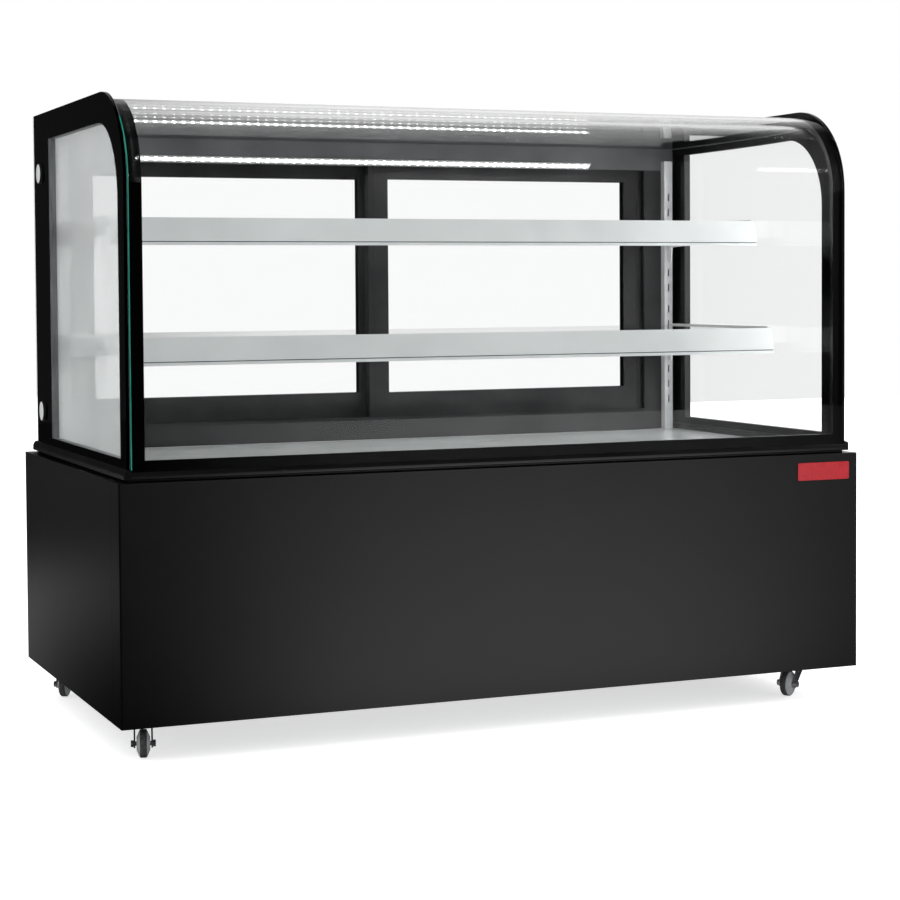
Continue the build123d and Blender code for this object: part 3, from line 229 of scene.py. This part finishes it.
def noise(tree, scale, detail=3.0, stretch=(1, 1, 1)):
    """Noise in metres on the piece's own shape, stretched for grain."""
    place = node(tree, "ShaderNodeTexCoord")
    mapping = node(tree, "ShaderNodeMapping")
    mapping.inputs["Scale"].default_value = stretch
    texture = node(tree, "ShaderNodeTexNoise")
    texture.inputs["Scale"].default_value = scale
    texture.inputs["Detail"].default_value = detail
    tree.links.new(place.outputs["Object"], mapping.inputs["Vector"])
    tree.links.new(mapping.outputs["Vector"], texture.inputs["Vector"])
    return texture.outputs["Fac"]


def spread(tree, value, low, high):
    """Maps noise from its middle range to two numbers."""
    return mapped(tree, value, *NOISE_MIDDLE, low, high)


def tinted(tree, value, dark, light):
    """Colour between two colours by a noise."""
    ramp = node(tree, "ShaderNodeValToRGB")
    for stop, spot, tone in zip(ramp.color_ramp.elements, NOISE_MIDDLE, (dark, light)):
        stop.position = spot
        stop.color = (*tone, 1)
    tree.links.new(value, ramp.inputs["Fac"])
    return ramp.outputs["Color"]


def bump(tree, value, depth):
    """Bump of a depth in metres."""
    made = node(tree, "ShaderNodeBump")
    made.inputs["Distance"].default_value = depth
    made.inputs["Strength"].default_value = 1.0
    tree.links.new(value, made.inputs["Height"])
    return made.outputs["Normal"]


def mixed(tree, amount, first, second):
    """Shader between two shaders by a socket."""
    mix = node(tree, "ShaderNodeMixShader")
    tree.links.new(amount, mix.inputs["Fac"])
    tree.links.new(first, mix.inputs[1])
    tree.links.new(second, mix.inputs[2])
    return mix.outputs["Shader"]


# Materials


def surface(
    name,
    dark,
    light,
    rough,
    metallic=0.0,
    patch_scale=9.0,
    grain_scale=900.0,
    grain_stretch=(1, 1, 1),
    grain_depth=PAINT_GRAIN,
    coat=0.0,
):
    """Solid surface with patches of tone, grain in its gloss and a fine bump."""
    mat, tree, out = new_material(name)
    shader = node(tree, "ShaderNodeBsdfPrincipled")
    shader.inputs["Metallic"].default_value = metallic
    shader.inputs["Coat Weight"].default_value = coat
    shader.inputs["Coat Roughness"].default_value = COAT_ROUGH
    patches = noise(tree, patch_scale)
    grain = noise(tree, grain_scale, 2.0, grain_stretch)
    tree.links.new(tinted(tree, patches, dark, light), shader.inputs["Base Color"])
    tree.links.new(spread(tree, grain, *rough), shader.inputs["Roughness"])
    tree.links.new(bump(tree, grain, grain_depth), shader.inputs["Normal"])
    tree.links.new(shader.outputs["BSDF"], out.inputs["Surface"])
    return mat


def painted_sheen_layer(tree):
    """Pale streaky layer that scatters light on both sides of a pane: painted sheen at a low angle."""
    streaks = tinted(tree, noise(tree, 5.0, 4.0, (1, 1, 0.4)), *GRAZING_SHEEN_TONES)
    both = node(tree, "ShaderNodeAddShader")
    for i, kind in enumerate(("ShaderNodeBsdfDiffuse", "ShaderNodeBsdfTranslucent")):
        scatter = node(tree, kind)
        tree.links.new(streaks, scatter.inputs["Color"])
        tree.links.new(scatter.outputs["BSDF"], both.inputs[i])
    return both.outputs["Shader"]


def glass(name, tint, rough=0.0, sheen_share=0.0):
    """Clear pane that lets lamps through, with faint smears, and a pale layer at a low angle as painted
    sheen.
    """
    mat, tree, out = new_material(name)
    shader = node(tree, "ShaderNodeBsdfPrincipled")
    shader.inputs["Base Color"].default_value = (*tint, 1)
    shader.inputs["Transmission Weight"].default_value = 1.0
    shader.inputs["IOR"].default_value = GLASS_BEND
    shader.inputs["Roughness"].default_value = 0.0
    if rough:
        smears = noise(tree, 14.0, 4.0, (1, 1, 0.3))
        tree.links.new(spread(tree, smears, 0.0, rough), shader.inputs["Roughness"])
    clear = shader.outputs["BSDF"]
    # pale layer at a low angle: painted sheen that stands for glare on the pane
    if sheen_share:
        edge = node(tree, "ShaderNodeLayerWeight")
        edge.inputs["Blend"].default_value = 0.5
        amount = step_up(tree, edge.outputs["Facing"], *GRAZING_SHEEN_FACING, top=sheen_share)
        clear = mixed(tree, amount, clear, painted_sheen_layer(tree))
    passing = node(tree, "ShaderNodeBsdfTransparent")
    passing.inputs["Color"].default_value = (*tint, 1)
    ray = node(tree, "ShaderNodeLightPath")
    pane = mixed(tree, ray.outputs["Is Shadow Ray"], clear, passing.outputs["BSDF"])
    tree.links.new(pane, out.inputs["Surface"])
    return mat


def lit(name):
    """Lamp strip with a row of small lights under a clear lens."""
    mat, tree, out = new_material(name)
    shader = node(tree, "ShaderNodeBsdfPrincipled")
    shader.inputs["Base Color"].default_value = (LENS_TONE, LENS_TONE, LENS_TONE, 1)
    shader.inputs["Emission Color"].default_value = (1, 1, 1, 1)
    place = node(tree, "ShaderNodeTexCoord")
    along = parted(tree, place.outputs["Object"])[0]
    wave = maths(tree, "COSINE", maths(tree, "MULTIPLY", along, 2 * math.pi / LIGHT_PITCH))
    level = step_up(tree, wave, *LIGHT_EDGE, LENS_LEVEL, LIGHT_LEVEL)
    tree.links.new(level, shader.inputs["Emission Strength"])
    tree.links.new(spread(tree, noise(tree, 400.0), 0.3, 0.5), shader.inputs["Roughness"])
    tree.links.new(shader.outputs["BSDF"], out.inputs["Surface"])
    return mat


def end_border():
    """Black print on the end glass, the bare spacer round the left window, and the right window's
    spacer painted black as painted shade.
    """
    mat, tree, out = new_material("end_border")
    shader = node(tree, "ShaderNodeBsdfPrincipled")
    shape = node(tree, "ShaderNodeNewGeometry")
    sideways = maths(tree, "ABSOLUTE", parted(tree, shape.outputs["Normal"])[0])
    # the right end's spacer faces are made black like the print, as painted shade, while the left end's
    # spacer stays bare grey
    right = maths(tree, "GREATER_THAN", parted(tree, shape.outputs["Position"])[0], 0.0)
    print_and_right_shade = maths(tree, "MAXIMUM", maths(tree, "GREATER_THAN", sideways, 0.5), right)
    grain = noise(tree, 300.0, 2.0, (1, 1, 0.05))
    bare = tinted(tree, grain, (0.17, 0.175, 0.18), (0.26, 0.265, 0.27))
    black = tinted(tree, noise(tree, 9.0), (0.003, 0.003, 0.0035), (0.006, 0.006, 0.0065))
    mix = node(tree, "ShaderNodeMix", data_type="RGBA")
    tree.links.new(print_and_right_shade, mix.inputs[0])
    tree.links.new(bare, mix.inputs[6])
    tree.links.new(black, mix.inputs[7])
    tree.links.new(mix.outputs[2], shader.inputs["Base Color"])
    tree.links.new(spread(tree, grain, 0.35, 0.5), shader.inputs["Roughness"])
    tree.links.new(bump(tree, grain, SMOOTH_GRAIN), shader.inputs["Normal"])
    tree.links.new(shader.outputs["BSDF"], out.inputs["Surface"])
    return mat


# Dark and light tone of each slot, the range of its roughness, and what else it needs

SURFACES = {
    "black_paint": (
        (0.0015, 0.0015, 0.0017), (0.0025, 0.0025, 0.0027), (0.28, 0.36),
        {"grain_depth": 0.00003},
    ),
    "black_trim": (
        (0.003, 0.003, 0.0032), (0.005, 0.005, 0.0055), (0.18, 0.26),
        {"grain_depth": SMOOTH_GRAIN},
    ),
    # black frame lifted to dark grey: partly its own black, partly painted reflection of the glass in
    # front of it
    "frame_black": (
        (0.034, 0.034, 0.035), (0.050, 0.050, 0.052), (0.08, 0.16),
        {"grain_scale": 300.0, "grain_depth": SMOOTH_GRAIN},
    ),
    "glass_border": ((0.003, 0.003, 0.0035), (0.006, 0.006, 0.0065), (0.3, 0.4), {}),
    "fixing_cap": ((0.010, 0.010, 0.011), (0.018, 0.018, 0.019), (0.25, 0.35), {}),
    "rail_metal": (
        (0.66, 0.69, 0.69), (0.74, 0.77, 0.77), (0.34, 0.48),
        {"metallic": 0.08, "grain_stretch": ALONG_X},
    ),
    "bracket_paint": ((0.72, 0.73, 0.73), (0.80, 0.80, 0.80), (0.35, 0.5), {}),
    "upright_steel": (
        (0.70, 0.71, 0.72), (0.80, 0.81, 0.82), (0.25, 0.4),
        {"metallic": 0.15, "grain_stretch": ALONG_Z},
    ),
    "deck_steel": (
        (0.68, 0.70, 0.70), (0.80, 0.82, 0.82), (0.14, 0.26),
        {"metallic": 0.3, "grain_stretch": ALONG_X},
    ),
    "lamp_body": ((0.7, 0.7, 0.7), (0.8, 0.8, 0.8), (0.4, 0.5), {}),
    "galvanised": (
        (0.28, 0.29, 0.30), (0.42, 0.43, 0.44), (0.3, 0.5),
        {"metallic": 0.7, "patch_scale": 45.0},
    ),
    "tub_liner": ((0.66, 0.67, 0.67), (0.76, 0.76, 0.76), (0.4, 0.55), {}),
    "caster_zinc": (
        (0.50, 0.50, 0.52), (0.66, 0.66, 0.68), (0.22, 0.38),
        {"metallic": 0.95, "patch_scale": 60.0},
    ),
    "caster_tyre": (
        (0.30, 0.31, 0.32), (0.42, 0.43, 0.44), (0.3, 0.45),
        {"patch_scale": 60.0},
    ),
    "machine_black": ((0.014, 0.014, 0.014), (0.024, 0.024, 0.024), (0.3, 0.45), {}),
    "coil_fins": ((0.5, 0.51, 0.52), (0.66, 0.67, 0.68), (0.3, 0.45), {"metallic": 0.9}),
    "fan_plastic": ((0.02, 0.02, 0.02), (0.035, 0.035, 0.035), (0.4, 0.55), {}),
    "copper": (
        (0.55, 0.26, 0.15), (0.75, 0.40, 0.25), (0.2, 0.4),
        {"metallic": 1.0, "patch_scale": 60.0},
    ),
    "control_plastic": (
        (0.02, 0.02, 0.021), (0.035, 0.035, 0.036), (0.45, 0.6),
        {"grain_depth": 0.00005},
    ),
    "button_plastic": ((0.42, 0.42, 0.42), (0.5, 0.5, 0.5), (0.4, 0.5), {}),
    "switch_plastic": ((0.05, 0.28, 0.08), (0.08, 0.36, 0.12), (0.2, 0.3), {}),
}

MATERIALS = {
    "clear_glass": glass("clear_glass", GLASS_TINT),
    "shelf_glass": glass("shelf_glass", SHELF_TINT, SHELF_SMEAR),
    "lamp_light": lit("lamp_light"),
}
for slot_name, (dark, light, rough, more) in SURFACES.items():
    MATERIALS[slot_name] = surface(slot_name, dark, light, rough, **more)

for part in frame["record"]["subparts"]:
    mesh = NODES[part["node"]].data
    mesh.materials.clear()
    mesh.materials.append(MATERIALS[part["material_slot"]])

# Materials of single nodes: the header, painted grey as painted reflection of the glass in front of it,
# the end glass and its border

# black header lifted to mid grey: painted reflection of the glass in front of it
HEADER_PAINTED_REFLECTION = surface(
    "header_painted_reflection", (0.110, 0.112, 0.118), (0.155, 0.157, 0.163), (0.12, 0.2),
    grain_scale=300.0, grain_depth=SMOOTH_GRAIN,
)
NODES["door_header"].data.materials[0] = HEADER_PAINTED_REFLECTION
NODES["end_glass_borders"].data.materials[0] = end_border()
# inner end panes get the pale painted sheen at a low angle
PAINTED_SHEEN_GLASS = glass("painted_sheen_glass", GLASS_TINT, sheen_share=GRAZING_SHEEN)
for name in ("left_end_inner_pane", "right_end_inner_pane"):
    NODES[name].data.materials[0] = PAINTED_SHEEN_GLASS

# Materials of the detail pieces

TREAD_RUBBER = surface(
    "tread_rubber", (0.035, 0.035, 0.037), (0.07, 0.07, 0.072), (0.5, 0.7),
    patch_scale=200.0,
)
BADGE_RED = surface(
    "badge_red", (0.34, 0.006, 0.012), (0.42, 0.010, 0.018), (0.22, 0.32),
    patch_scale=60.0, coat=0.3,
)
CAP_STEEL = surface(
    "cap_steel", (0.66, 0.68, 0.68), (0.80, 0.82, 0.82), (0.3, 0.45),
    metallic=0.15, patch_scale=80.0,
)
# dark material of the painted shade strips in the rail grooves
GROOVE_SHADE_DARK = surface(
    "groove_shade_dark", (0.05, 0.052, 0.054), (0.10, 0.102, 0.105), (0.4, 0.6),
    grain_stretch=ALONG_X,
)
EDGE_GREEN = surface(
    "edge_green", (0.010, 0.20, 0.14), (0.022, 0.27, 0.20), (0.12, 0.25),
    patch_scale=30.0,
)


# Detail pieces


def placed(name, data):
    """New object in the scene."""
    piece = bpy.data.objects.new(name, data)
    bpy.context.collection.objects.link(piece)
    return piece


def finished(name, made, mat, body):
    """Object from mesh code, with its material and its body."""
    bmesh.ops.recalc_face_normals(made, faces=made.faces)
    mesh = bpy.data.meshes.new(name)
    made.to_mesh(mesh)
    made.free()
    piece = placed(name, mesh)
    mesh.materials.append(mat)
    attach(piece, body)
    return piece


def softened(piece, width):
    """Small rounded edges on a piece."""
    bevel = piece.modifiers.new("round", "BEVEL")
    bevel.width = width
    bevel.segments = EDGE_SEGMENTS
    bevel.limit_method = "ANGLE"
    bevel.angle_limit = math.radians(EDGE_ANGLE)


def banded(made, here, there):
    """Closed band of faces between two rings of the same length."""
    for j in range(len(here)):
        k = (j + 1) % len(here)
        made.faces.new((here[j], here[k], there[k], there[j]))


def turned(profile, centre, axis, closed=True):
    """Solid of revolution of (distance along the axis, radius) points about an axis."""
    made = bmesh.new()
    along = Vector(axis).normalized()
    side = along.orthogonal().normalized()
    up = along.cross(side)
    rings = []
    for i in range(TURN_STEPS):
        angle = 2 * math.pi * i / TURN_STEPS
        out = side * math.cos(angle) + up * math.sin(angle)
        rings.append([made.verts.new(Vector(centre) + along * a + out * r) for a, r in profile])
    last = len(profile) if closed else len(profile) - 1
    for i in range(TURN_STEPS):
        here, there = rings[i], rings[(i + 1) % TURN_STEPS]
        for j in range(last):
            k = (j + 1) % len(profile)
            made.faces.new((here[j], here[k], there[k], there[j]))
    for face in made.faces:
        face.smooth = True
    return made


def badge_plate():
    """Bare coloured plate with rounded corners on the front panel."""
    x0, x1 = BADGE_X
    z0, z1 = BADGE_Z
    corners = []
    for cx, cz, start in ((x1, z1, 0), (x0, z1, 90), (x0, z0, 180), (x1, z0, 270)):
        sx = -1 if cx == x1 else 1
        sz = -1 if cz == z1 else 1
        for step in range(BADGE_CORNER_STEPS + 1):
            a = math.radians(start + 90 / BADGE_CORNER_STEPS * step)
            x = cx + sx * BADGE_ROUND + BADGE_ROUND * math.cos(a)
            z = cz + sz * BADGE_ROUND + BADGE_ROUND * math.sin(a)
            corners.append((x, z))
    made = bmesh.new()
    front = [made.verts.new((x, CASE_FRONT - BADGE_THICK, z)) for x, z in corners]
    back = [made.verts.new((x, CASE_FRONT, z)) for x, z in corners]
    made.faces.new(front)
    made.faces.new(back[::-1])
    banded(made, front, back)
    piece = finished("badge_plate", made, BADGE_RED, "root")
    softened(piece, BADGE_EDGE)


def rail_groove_shades():
    """Dark half-round strip in the groove above the foot bead of each shelf rail: painted shade in the
    groove.
    """
    for level in ("upper", "lower"):
        low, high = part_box(level + "_shelf_rail")
        y = low[1] + GROOVE_SHADE_BACK
        z = low[2] + GROOVE_SHADE_HEIGHT
        made = bmesh.new()
        ends = []
        for x in (low[0] + GROOVE_SHADE_END_GAP, high[0] - GROOVE_SHADE_END_GAP):
            ring = []
            for step in range(GROOVE_SHADE_STEPS + 1):
                a = math.radians(90 + 180 / GROOVE_SHADE_STEPS * step)
                point = (x, y + GROOVE_SHADE_RADIUS * math.cos(a), z + GROOVE_SHADE_RADIUS * math.sin(a))
                ring.append(made.verts.new(point))
            ends.append(ring)
        banded(made, ends[0], ends[1])
        made.faces.new(ends[0])
        made.faces.new(ends[1][::-1])
        finished(f"rail_groove_shade_{level}", made, GROOVE_SHADE_DARK, "root")


def cap_discs():
    """Bright domed disc let into the face of each round fixing cap."""
    low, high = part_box("end_glass_caps")
    y = (low[1] + high[1]) / 2
    radius = (high[1] - low[1]) / 2
    profile = [
        DISC_CROWN,
        (DISC_SHOULDER[0], radius * DISC_SHOULDER[1]),
        (DISC_RIM[0], radius - DISC_RIM[1]),
        (DISC_FOOT[0], radius - DISC_FOOT[1]),
    ]
    for side, x in (("left", low[0]), ("right", high[0])):
        out = math.copysign(1, x)
        for place, z in (("lower", low[2] + radius), ("upper", high[2] - radius)):
            made = turned(profile, (x, y, z), (out, 0, 0), closed=False)
            finished(f"cap_disc_{side}_{place}", made, CAP_STEEL, "root")


def tread_rings():
    """Dark rubber band round each grey wheel."""
    for joint in frame["joints"]:
        if joint["name"].startswith("roll_"):
            name = joint["child"]
            made = turned(TREAD_PROFILE, joint["pos_m"], joint["axis"])
            finished("tread_" + name, made, TREAD_RUBBER, name)


def green_edges():
    """Cut edge of the bent outer pane, which shows the green of thick glass."""
    low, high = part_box("front_glass_outer_pane")
    front = low[1]
    top = high[2]
    # place on the pane's outer face, with the direction into the glass
    path = [
        (front, low[2] + CUT_FOOT_GAP, 1.0, 0.0),
        (front, top - BEND_RADIUS, 1.0, 0.0),
    ]
    for step in range(1, BEND_STEPS + 1):
        a = math.radians(BEND_STEP_ANGLE * step)
        y = front + BEND_RADIUS - BEND_RADIUS * math.cos(a)
        z = top - BEND_RADIUS + BEND_RADIUS * math.sin(a)
        path.append((y, z, math.cos(a), -math.sin(a)))
    shallow, deep = CUT_DEPTHS
    for side_name, side in (("left", -1), ("right", 1)):
        proud = CUT_PROUD[side_name]
        made = bmesh.new()
        rows = []
        for y, z, in_y, in_z in path:
            row = []
            for depth, reach in ((shallow, 0.0), (shallow, proud), (deep, proud), (deep, 0.0)):
                point = (side * (high[0] + reach), y + in_y * depth, z + in_z * depth)
                row.append(made.verts.new(point))
            rows.append(row)
        for here, there in zip(rows, rows[1:]):
            for j in range(3):
                made.faces.new((here[j], here[j + 1], there[j + 1], there[j]))
        made.faces.new(rows[0])
        made.faces.new(rows[-1][::-1])
        piece = finished(f"glass_edge_{side_name}", made, EDGE_GREEN, "root")
        softened(piece, CUT_ROUND)


badge_plate()
rail_groove_shades()
cap_discs()
tread_rings()
green_edges()


# Studio


def inverse(tree, value):
    """1 minus a socket."""
    return maths(tree, "SUBTRACT", 1.0, value)


def straight_sight(tree, ray):
    """1 for what the eye meets at once or through glass, and 0 for light and gloss."""
    turns = maths(tree, "ADD", ray.outputs["Glossy Depth"], ray.outputs["Diffuse Depth"])
    unturned = inverse(tree, maths(tree, "MINIMUM", turns, 1.0))
    through = maths(tree, "MULTIPLY", ray.outputs["Is Transmission Ray"], unturned)
    return maths(tree, "MAXIMUM", ray.outputs["Is Camera Ray"], through)


def world():
    """White for the eye and through glass, soft light all round, a dark room in the gloss."""
    made = bpy.data.worlds.new("studio")
    bpy.context.scene.world = made
    made.use_nodes = True
    tree = made.node_tree
    tree.nodes.clear()
    out = node(tree, "ShaderNodeOutputWorld")
    ray = node(tree, "ShaderNodeLightPath")
    place = node(tree, "ShaderNodeTexCoord")
    right, back, _ = parted(tree, place.outputs["Generated"])
    # the dark room has one pale end at the back right
    corner = maths(tree, "MULTIPLY", step_up(tree, right, *PALE_RIGHT), step_up(tree, back, *PALE_BACK))
    pale = maths(tree, "MULTIPLY", corner, PALE_END - ROOM_GLOSS)
    gloss = maths(tree, "ADD", pale, ROOM_GLOSS)
    lighting = maths(tree, "MINIMUM", ray.outputs["Diffuse Depth"], 1.0)
    soft = maths(
        tree, "ADD",
        maths(tree, "MULTIPLY", gloss, inverse(tree, lighting)),
        maths(tree, "MULTIPLY", lighting, ROOM_LIGHT),
    )
    seen = straight_sight(tree, ray)
    level = maths(
        tree, "ADD",
        maths(tree, "MULTIPLY", seen, BACKDROP),
        maths(tree, "MULTIPLY", soft, inverse(tree, seen)),
    )
    room = node(tree, "ShaderNodeBackground")
    room.inputs["Color"].default_value = (1, 1, 1, 1)
    tree.links.new(level, room.inputs["Strength"])
    tree.links.new(room.outputs["Background"], out.inputs["Surface"])


def floor_strip(tree):
    """Level of the floor in the gloss: dark, with one lit strip that fans out to the front."""
    place = node(tree, "ShaderNodeTexCoord")
    x, y, _ = parted(tree, place.outputs["Object"])
    across = maths(tree, "SUBTRACT", x, STRIP_X)
    away = maths(tree, "SUBTRACT", STRIP_Y, y)
    strip = node(tree, "ShaderNodeValToRGB")
    ramp = strip.color_ramp
    ramp.interpolation = "EASE"
    for i, (spot, level) in enumerate(STRIP_STOPS):
        stop = ramp.elements[i] if i < 2 else ramp.elements.new(spot)
        stop.position = spot
        stop.color = (level, level, level, 1)
    tree.links.new(maths(tree, "DIVIDE", across, away), strip.inputs["Fac"])
    fade = maths(tree, "MULTIPLY", step_up(tree, y, *STRIP_FADE_ROWS), STRIP_FADE)
    kept = maths(tree, "MULTIPLY", strip.outputs["Color"], inverse(tree, fade))
    return maths(tree, "MAXIMUM", kept, FLOOR_GLOSS)


def floor():
    """Plain pale floor that keeps the object's shadow."""
    mesh = bpy.data.meshes.new("floor")
    made = bmesh.new()
    bmesh.ops.create_grid(made, x_segments=1, y_segments=1, size=FLOOR_HALF)
    made.to_mesh(mesh)
    made.free()
    piece = placed("floor", mesh)
    mat, tree, out = new_material("floor")
    shader = node(tree, "ShaderNodeBsdfPrincipled")
    shader.inputs["Base Color"].default_value = (FLOOR_TONE, FLOOR_TONE, FLOOR_TONE, 1)
    shader.inputs["Roughness"].default_value = FLOOR_ROUGH
    shader.inputs["Specular IOR Level"].default_value = 0.0
    shader.inputs["Emission Color"].default_value = (1, 1, 1, 1)
    ray = node(tree, "ShaderNodeLightPath")
    lift = maths(tree, "MULTIPLY", straight_sight(tree, ray), FLOOR_LIFT)
    tree.links.new(lift, shader.inputs["Emission Strength"])
    gloss = node(tree, "ShaderNodeEmission")
    tree.links.new(floor_strip(tree), gloss.inputs["Strength"])
    mirrored = maths(tree, "MINIMUM", ray.outputs["Glossy Depth"], 1.0)
    seen = mixed(tree, mirrored, shader.outputs["BSDF"], gloss.outputs["Emission"])
    tree.links.new(seen, out.inputs["Surface"])
    mesh.materials.append(mat)


def camera():
    """Camera at the photograph's place."""
    data = bpy.data.cameras.new("camera")
    piece = placed("camera", data)
    data.sensor_width = SENSOR
    data.sensor_fit = "HORIZONTAL"
    data.lens = SENSOR * FOCAL_PIXELS / IMAGE
    data.shift_y = (PRINCIPAL_ROW - IMAGE / 2) / IMAGE
    data.clip_start = NEAR_CLIP
    data.clip_end = FAR_CLIP
    turn = Vector(CAMERA_AIM).to_track_quat("-Z", "Y").to_matrix().to_4x4()
    roll = Matrix.Rotation(math.radians(CAMERA_ROLL), 4, "Z")
    piece.matrix_world = Matrix.Translation(CAMERA_PLACE) @ turn @ roll
    bpy.context.scene.camera = piece


def softbox():
    """Soft rectangular lamp to the right of the case."""
    light = bpy.data.lights.new("right_box", "AREA")
    light.shape = "RECTANGLE"
    light.size = LAMP_WIDTH
    light.size_y = LAMP_HEIGHT
    light.energy = LAMP_WATTS
    piece = placed("right_box", light)
    piece.location = LAMP_PLACE
    towards = Vector(LAMP_AIM) - Vector(LAMP_PLACE)
    piece.rotation_euler = towards.to_track_quat("-Z", "Y").to_euler()


world()
floor()
camera()
softbox()

bpy.context.scene.view_settings.view_transform = "Standard"
